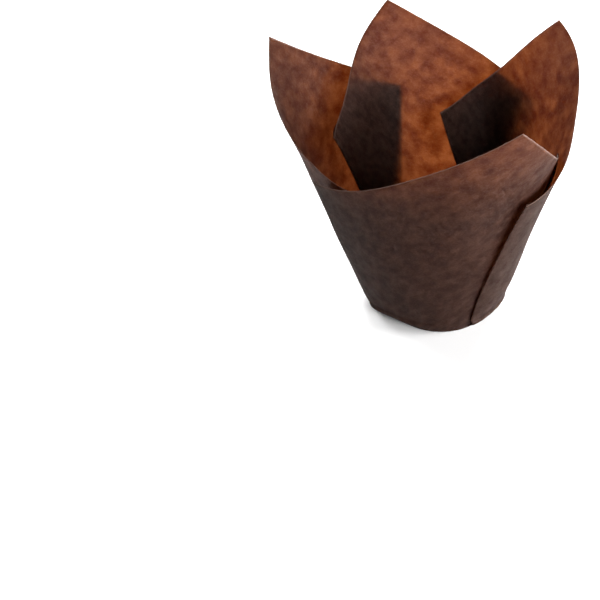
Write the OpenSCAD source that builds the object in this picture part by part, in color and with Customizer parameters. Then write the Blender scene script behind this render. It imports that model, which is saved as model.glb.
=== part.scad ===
// Tulip cupcake liner: one square sheet of paper pressed round a plug.
// Flat round base, a flared wall, four Z pleats that start as points at the
// base and widen to the cut edge, and four tall petals, the sheet's corners.
// Millimetres. Origin at the middle of the base, on the surface it stands on,
// +Z up. Azimuth b is measured from -Y, counter-clockwise seen from above.
// Panels and pleats are numbered 0 front, 1 right, 2 back, 3 left. At each
// pleat the next panel lies outside the one before it.

/* [Sheet] */
// Side of the square sheet before it is folded
sheet_side = 175; // [165:1:185]
// Thickness of the paper
sheet_t = 0.1; // [0.06:0.02:0.16]
// How far the sheet's middle lies off the base's middle, to the front and right petals
sheet_off = [-1.41, 0.1]; // [-3:0.5:3]

/* [Base] */
// Diameter of the flat base, to the sharp corner that the round edge replaces
base_d = 50; // [46:1:54]
// Radius of the rounded edge between base and wall
edge_r = 3.21; // [3:0.1:6]

// How far each pleat draws the base's edge in
heel_in = 2.31; // [0:0.1:2.5]
// Where that lies, degrees after the pleat's point
heel_off = 23.1; // [-15:1:30]

/* [Wall] */
// Mean angle of the wall from upright, degrees
wall_lean = 16.97; // [12:0.1:20]
// How much the wall leans out further with height, degrees in 100 mm
wall_curl = -1.41; // [-4:0.5:10]
// Uneven lean round the wall: front to back, right to left, degrees
lean_one = [-0.12, -3.59]; // [-5:0.1:5]
// Oval lean round the wall, degrees
lean_two = [0.49, -1.34]; // [-3:0.1:3]
// Three-cornered lean round the wall, degrees
lean_three = [-0.03, 2.15]; // [-3:0.1:3]

/* [Pleats] */
// Azimuth of the front petal's line at the base, degrees
petal_az = -9.86; // [-10:0.1:30]
// Where each pleat's point sits at the base, degrees after its petal's line
pleat_root = [41.89, 43.07, 45.48, 46.09]; // [38:0.1:52]
// Inner fold's corner, along the cut edge from its own petal's tip
inner_fold = [61.76, 75.45, 75.06, 75.95]; // [55:0.5:85]
// Outer fold's corner, along the cut edge from its own petal's tip
outer_fold = [80.09, 79.84, 55.91, 56.05]; // [50:0.5:85]
// Turn of each inner fold with height, degrees at the edge
inner_turn = [24.79, 30.35, 22.34, -14.18]; // [-16:0.1:32]
// Turn of each outer fold with height, degrees at the edge
outer_turn = [25.48, 34.29, 22.84, -1.95]; // [-10:0.1:35]
// How far each inner fold stands in from the wall at the edge
inner_inset = [0, 16.23, 9.65, 0.98]; // [0:0.5:18]
// How late each panel leaves the wall for its inner fold, 2 even, more is later
inset_power = [2.5, 2.86, 1.92, 3.19]; // [1.2:0.1:6]
// Extra gap under each outer fold at the edge, pleat by pleat
pleat_open = [2.4, 0.8, 2.2, 1]; // [0:0.1:2.5]
// Distance between the middles of two layers that lie on each other
layer_gap = 0.5; // [0.4:0.05:0.8]

/* [Petals] */
// Extra outward curl of each petal above the pleats, degrees a millimetre
petal_flare = [0.37, 0.56, 0.38, 0.4]; // [0:0.01:0.6]
// Sideways sweep of each petal above the wall
petal_sweep = [-2.82, 0.3, -1.32, 1.1]; // [-3:0.1:6]
// How far each petal bows out of the wall, near its outer fold
bow_first = [0.07, 0.33, 0.79, 3.45]; // [-1:0.1:4]
// How far each petal bows out of the wall, at its middle
bow_mid = [0.93, -1.34, 2.19, 1.78]; // [-2:0.1:3]
// How far each petal bows out of the wall, near its inner fold
bow_last = [0.1, 2.4, -0.86, -1.29]; // [-2:0.1:3]
// Sideways swing of each petal near its outer fold, degrees
swing_first = [1.07, -3.46, -2.69, -0.33]; // [-4:0.1:2]
// Sideways swing of each petal at its middle, degrees
swing_mid = [0.25, 8, 5.91, 1.34]; // [-3:0.1:9]
// Sideways swing of each petal near its inner fold, degrees
swing_last = [0.71, 3.05, -1.07, 2.47]; // [-2:0.1:4]

/* [Facets] */
// Facets across each half panel
n_half = 10; // [8:1:10]
// Facets up the wall
n_up = 11; // [9:1:12]

/* [Hidden] */

r0 = base_d / 2;
half = sheet_side / 2;
k_curl = wall_curl / 100 + 0.00001;
s_flare = 58;      // the petals' own curl starts at this slant
n_turn = 3;        // facets round one fold
n_mid = 4;         // facets across a pleat's middle layer
turn_len = 3.14159 * layer_gap / 2;   // paper taken up by one fold
s_wrap = 7;        // below this slant the paper is gathered at the base
root_len = 0.6;    // middle layer's width where a pleat starts
fold_from = 1.3;   // slant where a pleat starts to fold over
fold_to = 6;       // slant where it lies flat
n_base = 3;        // rings in the flat base
n_lap = 6;         // rings over which the pleats fold over

function ease(x) = let (c = min(1, max(0, x))) c * c * (3 - 2 * c);
function mix(a, b, t) = a + (b - a) * t;

// wall angle at the base for azimuth b
function lean(b) = wall_lean
  + lean_one[0] * cos(b) + lean_one[1] * sin(b)
  + lean_two[0] * cos(2 * b) + lean_two[1] * sin(2 * b)
  + lean_three[0] * cos(3 * b) + lean_three[1] * sin(3 * b) - k_curl * 25;

// radius and height of the wall at slant s from the sharp base corner
function arc_r(a, k, s) = (cos(a) - cos(a + k * s)) / k * 180 / PI;
function arc_z(a, k, s) = (sin(a + k * s) - sin(a)) / k * 180 / PI;
function wall(s, b, fl) =
  let (a = lean(b), s1 = min(s, s_flare), s2 = max(0, s - s_flare),
       a2 = a + k_curl * s_flare, k2 = k_curl + fl)
  [r0 + arc_r(a, k_curl, s1) + arc_r(a2, k2, s2),
   arc_z(a, k_curl, s1) + arc_z(a2, k2, s2)];
function edge_cut(b) = edge_r * tan((90 - lean(b)) / 2);

// a point on the sheet's cut edge, d from petal q's tip, side +1 on and -1 back
off_x = [sheet_off[1], -sheet_off[0], -sheet_off[1], sheet_off[0]];
off_y = [sheet_off[0], sheet_off[1], -sheet_off[0], -sheet_off[1]];
function cut(q, side, d) =
  [side * d / sqrt(2) + off_x[q], half * sqrt(2) - d / sqrt(2) + off_y[q]];
function root(q, side) = side > 0 ? pleat_root[q] : pleat_root[(q + 3) % 4] - 90;

// flat azimuth where the line from base azimuth f0 to the cut point e is at
// slant s; straight on the flat sheet
function on_line(f0, e, s) =
  let (p = [r0 * sin(f0), r0 * cos(f0)], d = e - p, rho = r0 + max(0, s),
       a = d * d, b = p * d, c = r0 * r0 - rho * rho,
       t = min(1, (-b + sqrt(max(0, b * b - a * c))) / a), m = p + d * t)
  atan2(m[0], m[1]);

// how much wider than its azimuth the paper lies once it is wrapped round
function spread(s, r) = 1 + ((r0 + s) / r - 1) * ease(s / s_wrap);

// azimuth of a flat point of petal q, before the pleats' own turn
function wrap1(th, f, s, b) = th + f * spread(s, wall(s, b, 0)[0]);
function wrap(q, f, s) =
  let (th = petal_az + 90 * q, sp = max(0, s))
  wrap1(th, f, sp, wrap1(th, f, sp, th + 1.4 * f));

// where across panel q a point at flat azimuth f lies: 0 outer fold, 1 inner
function across(q, f, s) =
  let (f2 = on_line(root(q, -1), cut(q, -1, outer_fold[q]), s),
       f1 = on_line(root(q, 1), cut(q, 1, inner_fold[q]), s))
  min(1, max(0, (f - f2) / (f1 - f2)));

function azim(q, f, s, t) = wrap(q, f, s)
  + mix(outer_turn[q], inner_turn[q], t) * max(0, s) / 62
  + petal_sweep[q] / 1000 * pow(max(0, s - 40), 2);

// the two folds of pleat q (end of panel q, start of panel q + 1) at slant s
function az_in(q, s) =
  azim(q, on_line(root(q, 1), cut(q, 1, inner_fold[q]), s), s, 1);
function az_out(q, s) = let (n = (q + 1) % 4)
  azim(n, on_line(root(n, -1), cut(n, -1, outer_fold[n]), s), s, 0)
  + (q == 3 ? 360 : 0);

// the pleat's section at slant s: fold angle, middle width, run and rise
function fold_w(s) = ease((s - fold_from) / (fold_to - fold_from));
function pleat(q, s) =
  let (b1 = az_in(q, s), b2 = az_out(q, s), bm = (b1 + b2) / 2,
       r = wall(max(0, s), bm, 0)[0],
       w = fold_w(s), th = mix(2, 180, w), rho = turn_len / (th * PI / 180),
       m = mix(root_len, max(root_len, (b1 - b2) * PI / 180 * r), w),
       dx = 2 * rho * sin(th) + m * cos(th),
       dy = 2 * rho * (1 - cos(th)) + m * sin(th))
  [bm, th, rho, m, dx, dy, r];
function open_at(q, s) = pleat_open[q] * pow(max(0, s) / 62, 2);

// how far the pleats draw the base's edge in at azimuth b
function off_heel(q, b) = let (x = b - petal_az - 90 * q - pleat_root[q] - heel_off)
  (x + 900) % 360 - 180;
function heel(b, s) = heel_in * (1 - ease((s + 3) / 22))
  * (exp(-pow(off_heel(0, b) / 24, 2)) + exp(-pow(off_heel(1, b) / 24, 2))
     + exp(-pow(off_heel(2, b) / 24, 2)) + exp(-pow(off_heel(3, b) / 24, 2)));

// a place on the wall: slant s, azimuth b, pushed out by y, own curl fl
function spot(s, b, y, fl) = spot_at(s, b, y - heel(b, s), fl);
function spot_at(s, b, y, fl) =
  let (c = edge_cut(b))
  s >= c ? let (w = wall(s, b, fl)) [(w[0] + y) * sin(b), -(w[0] + y) * cos(b), w[1] + sheet_t / 2]
  : let (a = (s + c) / (2 * c) * (90 - lean(b)), r = r0 - c + edge_r * sin(a) + y)
    [r * sin(b), -r * cos(b), edge_r * (1 - cos(a)) + sheet_t / 2];

// how far panel q stands in from the wall towards its inner fold
function inset(q, t, s) =
  inner_inset[q] * pow(max(0, (t - 0.15) / 0.85), inset_power[q]) * ease(s / 62);

// a soft bump over a panel: its heights near t = 0.2, 0.5 and 0.8
function bell(t) = exp(-pow(t / 0.17, 2));
function bump(a, b, c, t, s) =
  (a * bell(t - 0.2) + b * bell(t - 0.5) + c * bell(t - 0.8))
  * min(1, 6.4 * t * (1 - t)) * ease((s - 18) / 50);
function bow(q, t, s) = bump(bow_first[q], bow_mid[q], bow_last[q], t, s);
function swing(q, t, s) = bump(swing_first[q], swing_mid[q], swing_last[q], t, s);

// the share of panel q's width that its pleat's middle layer covers
function lap(q, s) = let (p = pleat(q, s))
  p[3] / p[6] * 180 / PI / (az_in(q, s) - az_out((q + 3) % 4, s) + (q == 0 ? 360 : 0));

// panel q at flat azimuth f: t across, e1 and e2 the shifts of its two ends
function on_panel(q, f, s, t) =
  let (pa = pleat((q + 3) % 4, s), pb = pleat(q, s),
       prev = (q + 3) % 4,
       e2 = pa[0] + pa[4] / 2 / pa[6] * 180 / PI - az_out(prev, s),
       e1 = pb[0] - pb[4] / 2 / pb[6] * 180 / PI - az_in(q, s),
       b = azim(q, f, s, t) + mix(e2, e1, t) + swing(q, t, s),
       y = pa[5] * (1 - ease(t)) + open_at(prev, s) * (1 - ease(2.2 * t))
         - inset(q, t, s) + bow(q, t, s))
  spot(s, b, y, petal_flare[q] * ease(min(1, 1.2 * (1 - abs(2 * t - 1)) + 0.4)));

// one column of paper: kind 0 panel, 1 inner fold, 2 middle layer, 3 outer fold
function column(q, kind, i) =
  kind == 0 ?
    let (back = i <= n_half, k = back ? 1 - i / n_half : (i - n_half) / n_half,
         d = (back ? outer_fold[q] : inner_fold[q]) * k,
         e = cut(q, back ? -1 : 1, d),
         g = i / (2 * n_half), f0 = mix(root(q, -1), root(q, 1), g),
         top = norm(e) - r0)
    [0, q, f0, e, top, i == 0 ? 0 : i == 2 * n_half ? 1 : -1]
  : let (e1 = norm(cut(q, 1, inner_fold[q])) - r0,
         n = (q + 1) % 4, e2 = norm(cut(n, -1, outer_fold[n])) - r0)
    kind == 1 ? [1, q, i / n_turn, 0, e1, 0]
    : kind == 2 ? [2, q, i / n_mid, 0, mix(e1, e2, i / n_mid) - 3.2 * (i / n_mid) * (1 - i / n_mid), 0]
    : [3, q, i / n_turn, 0, e2, 0];

function place(c, s) =
  c[0] == 0 ? let (f = on_line(c[2], c[3], s), t = c[5] >= 0 ? c[5] : across(c[1], f, s))
    on_panel(c[1], f, s, t)
  : let (q = c[1], p = pleat(q, s), a = p[1], rho = p[2], u = c[2],
         x0 = -p[4] / 2, op = open_at(q, s),
         x = c[0] == 1 ? x0 + rho * sin(a * u)
           : c[0] == 2 ? x0 + rho * sin(a) + p[3] * u * cos(a)
           : -x0 - rho * sin(a * (1 - u)),
         y = c[0] == 1 ? rho * (1 - cos(a * u))
           : c[0] == 2 ? rho * (1 - cos(a)) + p[3] * u * sin(a) + op * ease(u)
           : p[5] - rho * (1 - cos(a * (1 - u))) + op,
         v = c[0] == 1 ? 0 : c[0] == 2 ? u : 1,
         in = inset(q, 1 - v * lap(q, s), s),
         b = p[0] + x / p[6] * 180 / PI)
    spot(s, b, y - in * (1 - v), mix(petal_flare[q], petal_flare[(q + 1) % 4], v) * ease(0.4));

columns = [for (q = [0:3])
  each concat([for (i = [0:2 * n_half]) column(q, 0, i)],
              [for (i = [1:n_turn]) column(q, 1, i)],
              [for (i = [1:n_mid]) column(q, 2, i)],
              [for (i = [1:n_turn - 1]) column(q, 3, i)])];
nc = len(columns);
rows = n_base + n_lap + n_up + 2;

// slants of one column's points, from the innermost ring to the cut edge
function slant(c, j, ec) =
  j < n_base ? -ec - (r0 - ec) * (1 - (j + 1) / n_base) * (1 - 1 / (n_base + 1))
  : j == n_base ? -ec / 3
  : j <= n_base + n_lap + 1 ? mix(ec / 3, fold_to, (j - n_base - 1) / n_lap)
  : mix(fold_to, c[4], pow((j - n_base - n_lap - 1) / n_up, 0.95));
function grid_point(c, j) =
  let (b0 = c[0] == 0 ? petal_az + 90 * c[1] + c[2] : pleat(c[1], 0)[0],
       ec = edge_cut(b0), s = slant(c, j, ec))
  j < n_base ? let (q = place(c, -ec), rr = (r0 + s) / (r0 - ec)) [q[0] * rr, q[1] * rr, sheet_t / 2]
  : place(c, s);
grid = [for (c = columns) [for (j = [0:rows - 1]) grid_point(c, j)]];

function unit(v) = v / max(0.000001, norm(v));
function normal(i, j) =
  let (a = grid[(i + 1) % nc][j] - grid[(i + nc - 1) % nc][j],
       b = grid[i][min(rows - 1, j + 1)] - grid[i][max(0, j - 1)])
  j < n_base ? [0, 0, -1] : unit(cross(a, b));
function skin(d) = [for (i = [0:nc - 1]) for (j = [0:rows - 1]) grid[i][j] + normal(i, j) * d];

module liner() {
  n = nc * rows;
  points = concat(skin(sheet_t / 2), skin(-sheet_t / 2),
                  [[0, 0, 0], [0, 0, sheet_t]]);
  function id(side, i, j) = side * n + (i % nc) * rows + j;
  outer = [for (i = [0:nc - 1]) for (j = [0:rows - 2]) each
    [[id(0, i, j), id(0, i, j + 1), id(0, i + 1, j + 1)],
     [id(0, i, j), id(0, i + 1, j + 1), id(0, i + 1, j)]]];
  inner = [for (i = [0:nc - 1]) for (j = [0:rows - 2]) each
    [[id(1, i, j), id(1, i + 1, j + 1), id(1, i, j + 1)],
     [id(1, i, j), id(1, i + 1, j), id(1, i + 1, j + 1)]]];
  brim = [for (i = [0:nc - 1]) each
    [[id(0, i, rows - 1), id(1, i, rows - 1), id(1, i + 1, rows - 1)],
     [id(0, i, rows - 1), id(1, i + 1, rows - 1), id(0, i + 1, rows - 1)]]];
  middle = [for (i = [0:nc - 1]) each
    [[2 * n, id(0, i, 0), id(0, i + 1, 0)],
     [2 * n + 1, id(1, i + 1, 0), id(1, i, 0)]]];
  color([0.30, 0.18, 0.12])
    polyhedron(points = points, faces = concat(outer, inner, brim, middle), convexity = 12);
}

liner();
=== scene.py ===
"""Tulip cupcake liner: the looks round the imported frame.

One square sheet of paper, laid out point by point as it is folded: the same
rules as the solid's, on a finer grid, with the paper's small waves. Each point
keeps its place on the flat sheet, so the paper's grain follows the folds.
Lengths are in millimetres until the mesh is made, and then in metres.
"""
import math

import bpy
import numpy as np
from mathutils import Matrix, Vector


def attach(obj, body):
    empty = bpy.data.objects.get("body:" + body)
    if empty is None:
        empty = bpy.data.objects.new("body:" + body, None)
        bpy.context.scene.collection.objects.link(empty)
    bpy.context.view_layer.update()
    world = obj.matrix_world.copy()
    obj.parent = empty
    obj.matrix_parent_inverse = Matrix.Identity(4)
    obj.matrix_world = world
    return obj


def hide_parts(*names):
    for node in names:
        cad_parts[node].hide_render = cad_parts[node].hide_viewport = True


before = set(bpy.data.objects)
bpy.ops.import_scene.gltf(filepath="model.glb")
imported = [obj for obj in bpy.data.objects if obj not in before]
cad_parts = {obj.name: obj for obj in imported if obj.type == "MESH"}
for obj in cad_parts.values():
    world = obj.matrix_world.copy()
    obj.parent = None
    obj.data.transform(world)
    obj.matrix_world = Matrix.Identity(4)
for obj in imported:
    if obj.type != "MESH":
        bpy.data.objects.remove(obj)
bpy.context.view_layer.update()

# ---------------------------------------------------------------- the sheet
SIDE, THICK, BASE_D, EDGE_R = 175.0, 0.1, 50.0, 3.21
OFF = (-1.41, 0.1)
LEAN, CURL = 16.97, -1.41
LEAN1, LEAN2, LEAN3 = (-0.12, -3.59), (0.49, -1.34), (-0.03, 2.15)
PETAL_AZ = -9.86
ROOT = (41.89, 43.07, 45.48, 46.09)
INNER, OUTER = (61.76, 75.45, 75.06, 75.95), (80.09, 79.84, 55.91, 56.05)
TURN_IN, TURN_OUT = (24.79, 30.35, 22.34, -14.18), (25.48, 34.29, 22.84, -1.95)
INSET, POWER = (0.0, 16.23, 9.65, 0.98), (2.5, 2.86, 1.92, 3.19)
OPEN, GAP = (2.4, 0.8, 2.2, 1.0), 0.5
FLARE, SWEEP = (0.37, 0.56, 0.38, 0.4), (-2.82, 0.3, -1.32, 1.1)
BOW = ((0.07, 0.33, 0.79, 3.45), (0.93, -1.34, 2.19, 1.78), (0.1, 2.4, -0.86, -1.29))
SWING = ((1.07, -3.46, -2.69, -0.33), (0.25, 8, 5.91, 1.34), (0.71, 3.05, -1.07, 2.47))
HEEL_IN, HEEL_OFF = 2.31, 23.1
FLARE_FROM, ROOT_LEN, FOLD_FROM, FOLD_TO, WRAP_TO = 58.0, 0.6, 1.3, 6.0, 7.0

R0, HALF = BASE_D / 2, SIDE / 2
K = CURL / 100 + 1e-5
TURN_LEN = math.pi * GAP / 2
# the sheet's middle, seen from the base's middle along the sheet's own sides
HUB = np.array([OFF[1] + OFF[0], OFF[1] - OFF[0]]) / math.sqrt(2)
OFF_X = (OFF[1], -OFF[0], -OFF[1], OFF[0])
OFF_Y = (OFF[0], OFF[1], -OFF[0], -OFF[1])
DEG = math.pi / 180


def ease(x):
    c = np.clip(x, 0, 1)
    return c * c * (3 - 2 * c)


def mix(a, b, t):
    return a + (b - a) * t


def lean(b):
    c = np.asarray(b) * DEG
    return (LEAN + LEAN1[0] * np.cos(c) + LEAN1[1] * np.sin(c)
            + LEAN2[0] * np.cos(2 * c) + LEAN2[1] * np.sin(2 * c)
            + LEAN3[0] * np.cos(3 * c) + LEAN3[1] * np.sin(3 * c) - K * 25)


def arc_r(a, k, s):
    return (np.cos(a * DEG) - np.cos((a + k * s) * DEG)) / (k * DEG)


def arc_z(a, k, s):
    return (np.sin((a + k * s) * DEG) - np.sin(a * DEG)) / (k * DEG)


def wall(s, b, flare=0.0):
    """Radius and height of the wall at slant s from the base's sharp corner."""
    a, s1, s2 = lean(b), np.minimum(s, FLARE_FROM), np.maximum(0, s - FLARE_FROM)
    a2, k2 = a + K * FLARE_FROM, K + flare
    return (R0 + arc_r(a, K, s1) + arc_r(a2, k2, s2),
            arc_z(a, K, s1) + arc_z(a2, k2, s2))


def edge_cut(b):
    return EDGE_R * np.tan((90 - lean(b)) / 2 * DEG)


def cut(q, side, d):
    """The flat point on the cut edge, d from petal q's tip, in q's own axes."""
    return np.array([side * d / math.sqrt(2) + OFF_X[q],
                     HALF * math.sqrt(2) - d / math.sqrt(2) + OFF_Y[q]])


def root(q, side):
    return ROOT[q] if side > 0 else ROOT[(q + 3) % 4] - 90


def on_line(f0, e, s):
    """Flat azimuth at slant s of the straight line from the base to e."""
    p = np.array([R0 * math.sin(f0 * DEG), R0 * math.cos(f0 * DEG)])
    d, rho = e - p, R0 + np.maximum(0, s)
    a, b, c = d @ d, p @ d, R0 * R0 - rho * rho
    t = np.minimum(1, (-b + np.sqrt(np.maximum(0, b * b - a * c))) / a)
    return np.arctan2(p[0] + d[0] * t, p[1] + d[1] * t) / DEG


def wrap(q, f, s):
    th, sp = PETAL_AZ + 90 * q, np.maximum(0, s)
    b = th + 1.4 * f
    for _ in range(2):
        b = th + f * (1 + ((R0 + sp) / wall(sp, b)[0] - 1) * ease(sp / WRAP_TO))
    return b


def across(q, f, s):
    f2 = on_line(root(q, -1), cut(q, -1, OUTER[q]), s)
    f1 = on_line(root(q, 1), cut(q, 1, INNER[q]), s)
    return np.clip((f - f2) / (f1 - f2), 0, 1)


def azim(q, f, s, t):
    return (wrap(q, f, s) + mix(TURN_OUT[q], TURN_IN[q], t) * np.maximum(0, s) / 62
            + SWEEP[q] / 1000 * np.maximum(0, s - 40) ** 2)


def flat_in(q, s):
    return on_line(root(q, 1), cut(q, 1, INNER[q]), s)


def flat_out(q, s):
    n = (q + 1) % 4
    return on_line(root(n, -1), cut(n, -1, OUTER[n]), s)


def az_in(q, s):
    return azim(q, flat_in(q, s), s, 1.0)


def az_out(q, s):
    return azim((q + 1) % 4, flat_out(q, s), s, 0.0) + (360 if q == 3 else 0)


def pleat(q, s):
    """Middle azimuth, fold angle, radius, middle width, run, rise, wall radius."""
    b1, b2 = az_in(q, s), az_out(q, s)
    bm = (b1 + b2) / 2
    r = wall(np.maximum(0, s), bm)[0]
    w = ease((s - FOLD_FROM) / (FOLD_TO - FOLD_FROM))
    th = mix(2, 180, w)
    rho = TURN_LEN / (th * DEG)
    m = mix(ROOT_LEN, np.maximum(ROOT_LEN, (b1 - b2) * DEG * r), w)
    return (bm, th, rho, m, 2 * rho * np.sin(th * DEG) + m * np.cos(th * DEG),
            2 * rho * (1 - np.cos(th * DEG)) + m * np.sin(th * DEG), r)


def open_at(q, s):
    return OPEN[q] * (np.maximum(0, s) / 62) ** 2


def inset(q, t, s):
    return INSET[q] * np.clip((t - 0.15) / 0.85, 1e-9, 1) ** POWER[q] * ease(s / 62)


def bump(heights, q, t, s):
    """A soft bump over panel q, from its heights near t = 0.2, 0.5 and 0.8."""
    h = sum(heights[i][q] * np.exp(-((t - c) / 0.17) ** 2) for i, c in enumerate((0.2, 0.5, 0.8)))
    return h * np.minimum(1, 6.4 * t * (1 - t)) * ease((s - 18) / 50)


def heel(b, s):
    """How far the pleats draw the base's edge in."""
    x = [(b - PETAL_AZ - 90 * q - ROOT[q] - HEEL_OFF + 900) % 360 - 180 for q in range(4)]
    return HEEL_IN * (1 - ease((s + 3) / 22)) * sum(np.exp(-(v / 24) ** 2) for v in x)


def spot(s, b, y, flare):
    """A place on the wall: slant s, azimuth b, pushed out by y."""
    y = y - heel(b, s)
    c = edge_cut(b)
    rw, zw = wall(np.maximum(s, 0), b, flare)
    a = (np.minimum(s, c) + c) / (2 * c) * (90 - lean(b))
    r = np.where(s >= c, rw, R0 - c + EDGE_R * np.sin(a * DEG)) + y
    z = np.where(s >= c, zw, EDGE_R * (1 - np.cos(a * DEG))) + THICK / 2
    return np.stack([r * np.sin(b * DEG), -r * np.cos(b * DEG), z], -1)


def flat_point(q, f, s):
    """Where the paper of slant s and flat azimuth f lies on the flat sheet."""
    a, rho = (f + 90 * q + 45) * DEG, R0 + s
    return np.stack([rho * np.sin(a), -rho * np.cos(a)], -1) - HUB


# ------------------------------------------------------------- its columns
N_HALF, N_TURN, N_MID = 44, 6, 12
N_BASE, N_CORNER, N_LAP, N_UP = 5, 6, 20, 62


def slants(top, c):
    """Slants of one column's points from the base's middle to the cut edge."""
    base = -c - (R0 - c) * (1 - (np.arange(N_BASE) + 1) / N_BASE) * (1 - 1 / (N_BASE + 1))
    corner = mix(-c, c / 3, np.arange(1, N_CORNER + 1) / N_CORNER)
    lap = mix(c / 3, FOLD_TO, np.arange(1, N_LAP + 1) / N_LAP)
    up = mix(FOLD_TO, top, (np.arange(1, N_UP + 1) / N_UP) ** 0.95)
    return np.concatenate([base, corner, lap, up])


def panel_column(q, g):
    """Panel q's column: g 0 at its outer fold, 0.5 at the tip, 1 at its inner."""
    back = g <= 0.5
    d = (OUTER[q] if back else INNER[q]) * (1 - 2 * g if back else 2 * g - 1)
    e = cut(q, -1 if back else 1, d)
    f0 = mix(root(q, -1), root(q, 1), g)
    s = slants(np.hypot(*e) - R0, edge_cut(PETAL_AZ + 90 * q + f0))
    f = on_line(f0, e, s)
    t = np.full_like(s, g) if g in (0, 1) else across(q, f, s)
    prev = (q + 3) % 4
    pa, pb = pleat(prev, s), pleat(q, s)
    e2 = pa[0] + pa[4] / 2 / pa[6] / DEG - az_out(prev, s)
    e1 = pb[0] - pb[4] / 2 / pb[6] / DEG - az_in(q, s)
    b = azim(q, f, s, t) + mix(e2, e1, t) + bump(SWING, q, t, s)
    y = pa[5] * (1 - ease(t)) + open_at(prev, s) * (1 - ease(2.2 * t))
    y = y - inset(q, t, s) + bump(BOW, q, t, s)
    flare = FLARE[q] * ease(np.minimum(1, 1.2 * (1 - abs(2 * t - 1)) + 0.4))
    return spot(s, b, y, flare), flat_point(q, f, s), s


def pleat_column(q, kind, u):
    """Pleat q's column: kind 1 its inner fold, 2 its middle layer, 3 its outer."""
    n = (q + 1) % 4
    t1 = np.hypot(*cut(q, 1, INNER[q])) - R0
    t2 = np.hypot(*cut(n, -1, OUTER[n])) - R0
    top = t1 if kind == 1 else t2 if kind == 3 else mix(t1, t2, u) - 3.2 * u * (1 - u)
    s = slants(top, edge_cut(PETAL_AZ + 90 * q + ROOT[q]))
    p = pleat(q, s)
    a, rho, x0, op = p[1] * DEG, p[2], -p[4] / 2, open_at(q, s)
    if kind == 1:
        x, y, v = x0 + rho * np.sin(a * u), rho * (1 - np.cos(a * u)), 0.0
    elif kind == 2:
        x = x0 + rho * np.sin(a) + p[3] * u * np.cos(a)
        y = rho * (1 - np.cos(a)) + p[3] * u * np.sin(a) + op * ease(u)
        v = u
    else:
        x = -x0 - rho * np.sin(a * (1 - u))
        y, v = p[5] - rho * (1 - np.cos(a * (1 - u))) + op, 1.0
    width = az_in(q, s) - az_out((q + 3) % 4, s) + (360 if q == 0 else 0)
    ins = inset(q, 1 - v * p[3] / p[6] / DEG / width, s)
    b = p[0] + x / p[6] / DEG
    f = mix(flat_in(q, s), flat_out(q, s) + 90, v)
    return (spot(s, b, y - ins * (1 - v), mix(FLARE[q], FLARE[n], v) * ease(0.4)),
            flat_point(q, f, s), s)


def sheet_grid():
    cols = []
    for q in range(4):
        cols += [panel_column(q, i / (2 * N_HALF)) for i in range(2 * N_HALF + 1)]
        cols += [pleat_column(q, 1, i / N_TURN) for i in range(1, N_TURN + 1)]
        cols += [pleat_column(q, 2, i / N_MID) for i in range(1, N_MID + 1)]
        cols += [pleat_column(q, 3, i / N_TURN) for i in range(1, N_TURN)]
    grid = np.array([c[0] for c in cols])
    flat = np.array([c[1] for c in cols])
    slant = np.array([c[2] for c in cols])
    # inside the base's corner every ring is a smaller copy of the corner's
    ring = grid[:, N_BASE - 1:N_BASE]
    share = (R0 + slant[:, :N_BASE]) / (R0 + slant[:, N_BASE - 1:N_BASE])
    grid[:, :N_BASE] = ring * share[..., None]
    grid[:, :N_BASE, 2] = THICK / 2
    return grid, flat, slant


def waves(grid, slant):
    """Small soft waves of pressed paper, alike in layers that lie together."""
    b = np.arctan2(grid[..., 0], -grid[..., 1])
    s = np.maximum(0, slant)
    up = ease((s - 3) / 25)
    w = 0.30 * np.sin(3 * b + 0.055 * s + 0.4) * np.sin(0.085 * s + 1.1 + np.sin(2 * b))
    w += 0.16 * np.sin(7 * b - 0.04 * s + 2.0) * np.sin(0.13 * s + 0.6)
    w *= up
    # faint upright flutes where the wall leaves the base
    w += 0.07 * np.sin(34 * b + 1.5 * np.sin(3 * b)) * ease((s - 1) / 5) * np.exp(-s / 14)
    r = np.hypot(grid[..., 0], grid[..., 1])
    k = (r + w) / np.maximum(r, 1e-6)
    grid[..., 0] *= k
    grid[..., 1] *= k
    return grid


def unit(v):
    return v / np.maximum(np.linalg.norm(v, axis=-1, keepdims=True), 1e-12)


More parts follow.
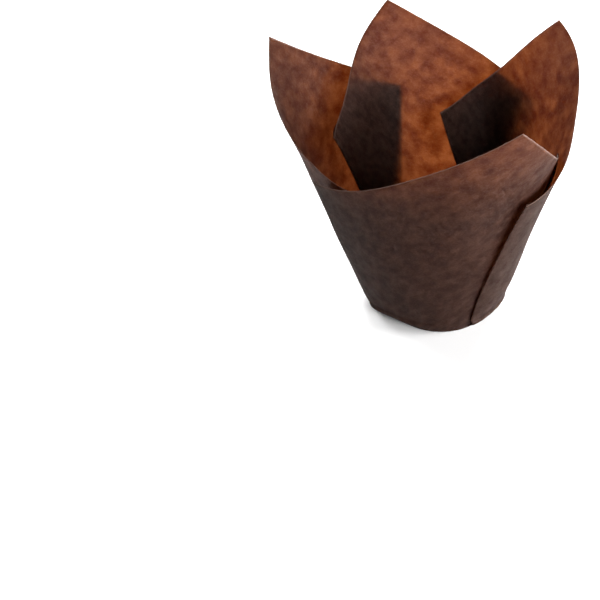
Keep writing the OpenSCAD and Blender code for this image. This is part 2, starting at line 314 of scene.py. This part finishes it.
def make_sheet(name):
    grid, flat, slant = sheet_grid()
    grid = waves(grid, slant)
    nc, nr = grid.shape[:2]
    side = np.roll(grid, -1, 0) - np.roll(grid, 1, 0)
    rise = np.empty_like(grid)
    rise[:, 1:-1] = grid[:, 2:] - grid[:, :-2]
    rise[:, 0], rise[:, -1] = grid[:, 1] - grid[:, 0], grid[:, -1] - grid[:, -2]
    normal = unit(np.cross(side, rise))
    normal[:, :N_BASE] = (0, 0, -1)
    skin = [grid + normal * d for d in (THICK / 2, -THICK / 2)]
    points = np.concatenate([skin[0].reshape(-1, 3), skin[1].reshape(-1, 3),
                             [[0, 0, 0], [0, 0, THICK]]]) / 1000
    n = nc * nr
    i, j = np.meshgrid(np.arange(nc), np.arange(nr - 1), indexing="ij")
    i2 = (i + 1) % nc
    a, b, c, d = i * nr + j, i * nr + j + 1, i2 * nr + j + 1, i2 * nr + j
    outer = np.stack([a, d, c, b], -1).reshape(-1, 4)
    inner = np.stack([a, b, c, d], -1).reshape(-1, 4) + n
    i = np.arange(nc)
    i2 = (i + 1) % nc
    t, t2 = i * nr + nr - 1, i2 * nr + nr - 1
    brim = np.stack([t, t2, t2 + n, t + n], -1)
    hub = [(2 * n, i2[k] * nr, i[k] * nr) for k in range(nc)]
    hub += [(2 * n + 1, i[k] * nr + n, i2[k] * nr + n) for k in range(nc)]
    faces = outer.tolist() + inner.tolist() + brim.tolist() + [tuple(map(int, h)) for h in hub]
    mesh = bpy.data.meshes.new(name)
    mesh.from_pydata(points.tolist(), [], faces)
    # each corner keeps its place on the flat sheet, 0 to 1 across it
    place = np.concatenate([flat.reshape(-1, 2), flat.reshape(-1, 2),
                            -HUB[None], -HUB[None]]) / SIDE + 0.5
    uv = mesh.uv_layers.new(name="flat_sheet")
    loops = np.empty(len(mesh.loops), np.int32)
    mesh.loops.foreach_get("vertex_index", loops)
    uv.data.foreach_set("uv", place[loops].astype(np.float32).ravel())
    mesh.update()
    mesh.shade_smooth()
    piece = bpy.data.objects.new(name, mesh)
    bpy.context.scene.collection.objects.link(piece)
    return piece


# -------------------------------------------------------------- materials
def paper_material():
    mat = bpy.data.materials.new("brown_baking_paper")
    mat.use_nodes = True
    nt = mat.node_tree
    nt.nodes.clear()

    def node(kind, **values):
        n = nt.nodes.new(kind)
        for k, v in values.items():
            setattr(n, k, v)
        return n

    def link(a, b):
        nt.links.new(a, b)

    def noise(vector, scale, detail, rough, stretch=None, seed=0.0):
        m = node("ShaderNodeMapping")
        m.inputs["Scale"].default_value = stretch or (1, 1, 1)
        m.inputs["Location"].default_value = (seed, seed * 0.7, seed * 0.3)
        link(vector, m.inputs["Vector"])
        n = node("ShaderNodeTexNoise")
        n.inputs["Scale"].default_value = scale
        n.inputs["Detail"].default_value = detail
        n.inputs["Roughness"].default_value = rough
        link(m.outputs["Vector"], n.inputs["Vector"])
        return n.outputs["Fac"]

    def maths(op, a, b=None, c=None, clamp=False):
        n = node("ShaderNodeMath", operation=op, use_clamp=clamp)
        for k, v in enumerate((a, b, c)):
            if v is None:
                continue
            if isinstance(v, (int, float)):
                n.inputs[k].default_value = v
            else:
                link(v, n.inputs[k])
        return n.outputs[0]

    def ramp(fac, *stops):
        n = node("ShaderNodeValToRGB")
        e = n.color_ramp.elements
        while len(e) < len(stops):
            e.new(0.5)
        for k, (at, colour) in enumerate(stops):
            e[k].position, e[k].color = at, (*colour, 1)
        link(fac, n.inputs["Fac"])
        return n.outputs["Color"]

    def blend(kind, fac, a, b):
        n = node("ShaderNodeMix", data_type="RGBA", blend_type=kind)
        for socket, v in ((n.inputs[0], fac), (n.inputs[6], a), (n.inputs[7], b)):
            if isinstance(v, (int, float)):
                socket.default_value = v
            elif isinstance(v, tuple):
                socket.default_value = (*v, 1)
            else:
                link(v, socket)
        return n.outputs[2]

    uv = node("ShaderNodeUVMap", uv_map="flat_sheet")
    scaled = node("ShaderNodeVectorMath", operation="SCALE")
    scaled.inputs["Scale"].default_value = SIDE      # millimetres on the sheet
    link(uv.outputs["UV"], scaled.inputs[0])
    mm = scaled.outputs["Vector"]

    # cloudy formation of the pulp, seen against the light
    cloud = noise(mm, 0.22, 2, 0.55, seed=3.1)
    fine_cloud = noise(mm, 0.62, 2, 0.5, seed=8.7)
    broad = noise(mm, 0.055, 2, 0.5, seed=14.2)
    pulp = maths("ADD", maths("MULTIPLY", cloud, 0.86), maths("MULTIPLY", fine_cloud, 0.14))
    pulp = maths("ADD", pulp, maths("MULTIPLY", maths("SUBTRACT", broad, 0.5), 0.35))
    through = ramp(pulp, (0.34, (0.246, 0.094, 0.040)), (0.50, (0.322, 0.147, 0.070)),
                   (0.66, (0.402, 0.202, 0.104)))

    # fibres and speckle of the surface
    speckle = noise(mm, 1.9, 2, 0.8, seed=1.3)
    fibre = noise(mm, 1.6, 2, 0.7, stretch=(1.0, 0.4, 1.0), seed=5.5)
    fibre2 = noise(mm, 1.7, 2, 0.7, stretch=(0.4, 1.0, 1.0), seed=9.1)
    grain = maths("ADD", maths("MULTIPLY", speckle, 0.7),
                  maths("MULTIPLY", maths("ADD", fibre, fibre2), 0.15))
    patch = noise(mm, 0.48, 2, 0.55, seed=21.4)
    tone = maths("ADD", grain, maths("MULTIPLY", maths("SUBTRACT", patch, 0.5), 0.22))
    tone = maths("ADD", tone, maths("MULTIPLY", maths("SUBTRACT", cloud, 0.5), 0.12))
    face = ramp(tone, (0.40, (0.0090, 0.0030, 0.0019)), (0.51, (0.0310, 0.0138, 0.0093)),
                (0.62, (0.074, 0.039, 0.030)))

    # pale fibres at the cut edge
    xyz = node("ShaderNodeSeparateXYZ")
    link(uv.outputs["UV"], xyz.inputs[0])
    ex = maths("ABSOLUTE", maths("SUBTRACT", xyz.outputs["X"], 0.5))
    ey = maths("ABSOLUTE", maths("SUBTRACT", xyz.outputs["Y"], 0.5))
    to_edge = maths("MULTIPLY", maths("SUBTRACT", 0.5, maths("MAXIMUM", ex, ey)), SIDE)
    rim = maths("SUBTRACT", 1.0, maths("DIVIDE", to_edge, 0.45), clamp=True)
    face = blend("MIX", maths("MULTIPLY", rim, 0.8), face, (0.24, 0.15, 0.12))
    through = blend("MIX", maths("MULTIPLY", rim, 0.8), through, (0.10, 0.045, 0.025))

    bump = node("ShaderNodeBump")
    bump.inputs["Strength"].default_value = 0.45
    bump.inputs["Distance"].default_value = 0.00012
    height = maths("ADD", maths("MULTIPLY", grain, 0.8), maths("MULTIPLY", cloud, 0.5))
    link(height, bump.inputs["Height"])

    shine = node("ShaderNodeMapRange")
    link(tone, shine.inputs["Value"])
    shine.inputs["From Min"].default_value, shine.inputs["From Max"].default_value = 0.35, 0.65
    shine.inputs["To Min"].default_value, shine.inputs["To Max"].default_value = 0.70, 0.54

    front = node("ShaderNodeBsdfPrincipled")
    link(face, front.inputs["Base Color"])
    link(shine.outputs["Result"], front.inputs["Roughness"])
    front.inputs["Specular IOR Level"].default_value = 0.11
    link(bump.outputs["Normal"], front.inputs["Normal"])
    lit = node("ShaderNodeBsdfTranslucent")
    link(through, lit.inputs["Color"])
    both = node("ShaderNodeMixShader")
    both.inputs[0].default_value = 0.45
    link(front.outputs[0], both.inputs[1])
    link(lit.outputs[0], both.inputs[2])
    out = node("ShaderNodeOutputMaterial")
    link(both.outputs[0], out.inputs["Surface"])
    return mat


def floor_material():
    mat = bpy.data.materials.new("pale_floor")
    mat.use_nodes = True
    p = mat.node_tree.nodes["Principled BSDF"]
    p.inputs["Base Color"].default_value = (0.93, 0.93, 0.93, 1)
    p.inputs["Roughness"].default_value = 0.9
    p.inputs["Specular IOR Level"].default_value = 0.1
    return mat


# ------------------------------------------------------------------ pieces
sheet = make_sheet("paper_liner")
sheet.data.materials.append(paper_material())
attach(sheet, "root")
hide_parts("liner")

floor_mesh = bpy.data.meshes.new("floor")
S = 3.0
floor_mesh.from_pydata([(-S, -S, 0), (S, -S, 0), (S, S, 0), (-S, S, 0)], [], [(0, 1, 2, 3)])
floor = bpy.data.objects.new("floor", floor_mesh)
bpy.context.scene.collection.objects.link(floor)
floor.data.materials.append(floor_material())
floor.location.z = -0.00005


# ------------------------------------------------------- camera and lights
def camera_frame(dist, elevation, f, x0, y0, roll):
    """The camera that sees the origin at pixel (x0, y0) of a 600 x 600 picture."""
    e, w = elevation * DEG, roll * DEG
    C = np.array([0, -dist * math.cos(e), dist * math.sin(e)])
    v = np.array([(x0 - 300) / f, -(y0 - 300) / f, 1.0])
    v /= np.linalg.norm(v)
    c, s = math.cos(w), math.sin(w)
    v = np.array([c * v[0] - s * v[1], s * v[0] + c * v[1], v[2]])
    d = -C / dist
    psi = math.asin(-v[0] / d[1])
    h = math.cos(psi) * d[1]
    th = math.atan2(d[2], h) - math.atan2(v[1], v[2])
    F = np.array([math.sin(psi) * math.cos(th), math.cos(psi) * math.cos(th), math.sin(th)])
    R = np.array([math.cos(psi), -math.sin(psi), 0])
    U = np.cross(R, F)
    return C, c * R - s * U, s * R + c * U, F


F_PX = 939.23
C, R, U, F = camera_frame(358.28, 33.789, F_PX, 433.55, 299.95, 1.061)
cam_data = bpy.data.cameras.new("camera")
cam_data.sensor_fit = "HORIZONTAL"
cam_data.sensor_width = 36.0
cam_data.lens = F_PX * 36 / 600
cam_data.clip_start, cam_data.clip_end = 0.01, 20
cam = bpy.data.objects.new("camera", cam_data)
bpy.context.scene.collection.objects.link(cam)
cam.matrix_world = Matrix(((R[0], U[0], -F[0], C[0] / 1000), (R[1], U[1], -F[1], C[1] / 1000),
                           (R[2], U[2], -F[2], C[2] / 1000), (0, 0, 0, 1)))
bpy.context.scene.camera = cam


def area_light(name, place, aim, width, height, power):
    data = bpy.data.lights.new(name, "AREA")
    data.shape, data.size, data.size_y, data.energy = "RECTANGLE", width, height, power
    o = bpy.data.objects.new(name, data)
    o.location = place
    o.rotation_euler = (Vector(aim) - Vector(place)).to_track_quat("-Z", "Y").to_euler()
    bpy.context.scene.collection.objects.link(o)
    return o


area_light("back_light", (0.02, 1.0, 0.14), (0, 0, 0.04), 0.75, 0.26, 76.0)
area_light("right_light", (1.0, 0, 0.15), (0, 0, 0.04), 0.5, 0.5, 35.0)
area_light("left_light", (-0.7, 0.5, 0.6), (0, 0, 0.04), 0.4, 0.4, 8.0)
area_light("front_right_light", (0.85, -0.9, 0.42), (0, 0, 0.04), 0.7, 0.7, 27.5)


def soft_sky(lobes):
    """A white surround: each lobe (direction, strength) fades off smoothly."""
    sky = bpy.data.worlds.new("studio")
    bpy.context.scene.world = sky
    sky.use_nodes = True
    nt = sky.node_tree
    where = nt.nodes.new("ShaderNodeTexCoord").outputs["Generated"]
    total = None
    for way, strength in lobes:
        dot = nt.nodes.new("ShaderNodeVectorMath")
        dot.operation = "DOT_PRODUCT"
        dot.inputs[1].default_value = way
        nt.links.new(where, dot.inputs[0])
        last = dot.outputs["Value"]
        for operation, value in (("MAXIMUM", 0.0), ("POWER", 2.0), ("MULTIPLY", strength)):
            m = nt.nodes.new("ShaderNodeMath")
            m.operation = operation
            m.inputs[1].default_value = value
            nt.links.new(last, m.inputs[0])
            last = m.outputs[0]
        if total is not None:
            m = nt.nodes.new("ShaderNodeMath")
            m.operation = "ADD"
            nt.links.new(total, m.inputs[0])
            nt.links.new(last, m.inputs[1])
            last = m.outputs[0]
        total = last
    sky_light = nt.nodes["Background"]
    sky_light.inputs["Color"].default_value = (1, 1, 1, 1)
    nt.links.new(total, sky_light.inputs["Strength"])


soft_sky([((-1, 0, 0), 0.11), ((-0.707, 0.707, 0), 0.06), ((0, 0, 1), 0.06)])
bpy.context.scene.view_settings.view_transform = "Standard"
